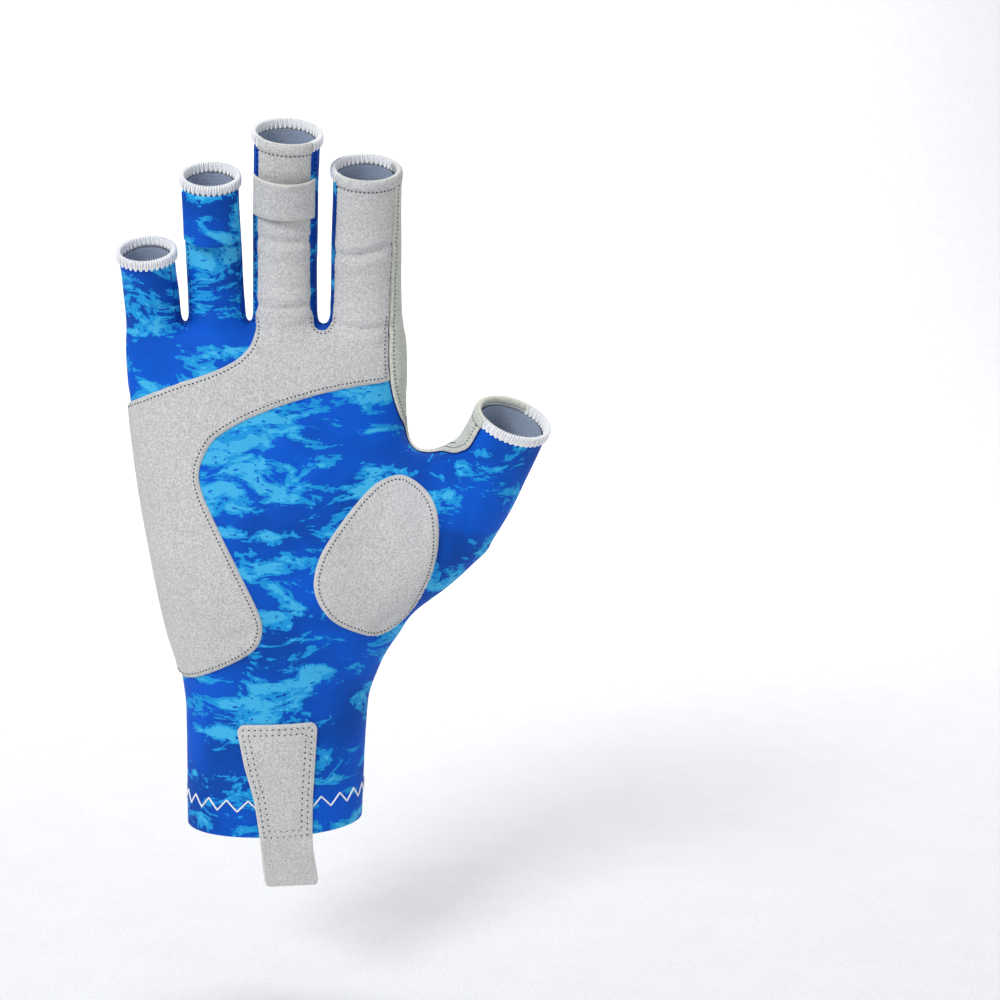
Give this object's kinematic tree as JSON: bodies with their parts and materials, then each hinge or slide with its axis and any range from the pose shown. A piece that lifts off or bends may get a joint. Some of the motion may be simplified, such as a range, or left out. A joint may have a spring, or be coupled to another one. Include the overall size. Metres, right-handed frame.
{
  "type": "fishing glove",
  "caption": "Right-hand fishing glove with short open fingers: camouflage cloth shell, leather palm patch, thumb pad and side strip, finger pull bands and a cuff pull tab.",
  "frame": {"origin": "middle of the wrist opening, in the plane of the cuff's edge", "axes": "+Z from the cuff to the fingertips, -Y out of the palm, +X to the thumb side"},
  "size_m": [0.1283, 0.0682, 0.2391],
  "materials": {
    "camo_cloth": "matt knit, light and dark blue camouflage",
    "leather": "matt suede-like synthetic leather",
    "binding": "matt overlock thread"
  },
  "bodies": {
    "root": {"palm_panel": "camo_cloth", "back_panel": "camo_cloth", "side_strip_little_ring": "camo_cloth", "side_strip_ring_middle": "camo_cloth", "side_strip_middle_index": "camo_cloth", "palm_patch": "leather", "thumb_pad": "leather", "thumb_index_strip": "leather", "middle_pull_band": "leather", "ring_pull_band": "camo_cloth", "pull_tab": "leather", "cuff_hem": "camo_cloth", "hem_little": "binding", "hem_ring": "binding", "hem_middle": "binding", "hem_index": "binding", "hem_thumb": "binding"}
  },
  "joints": []
}
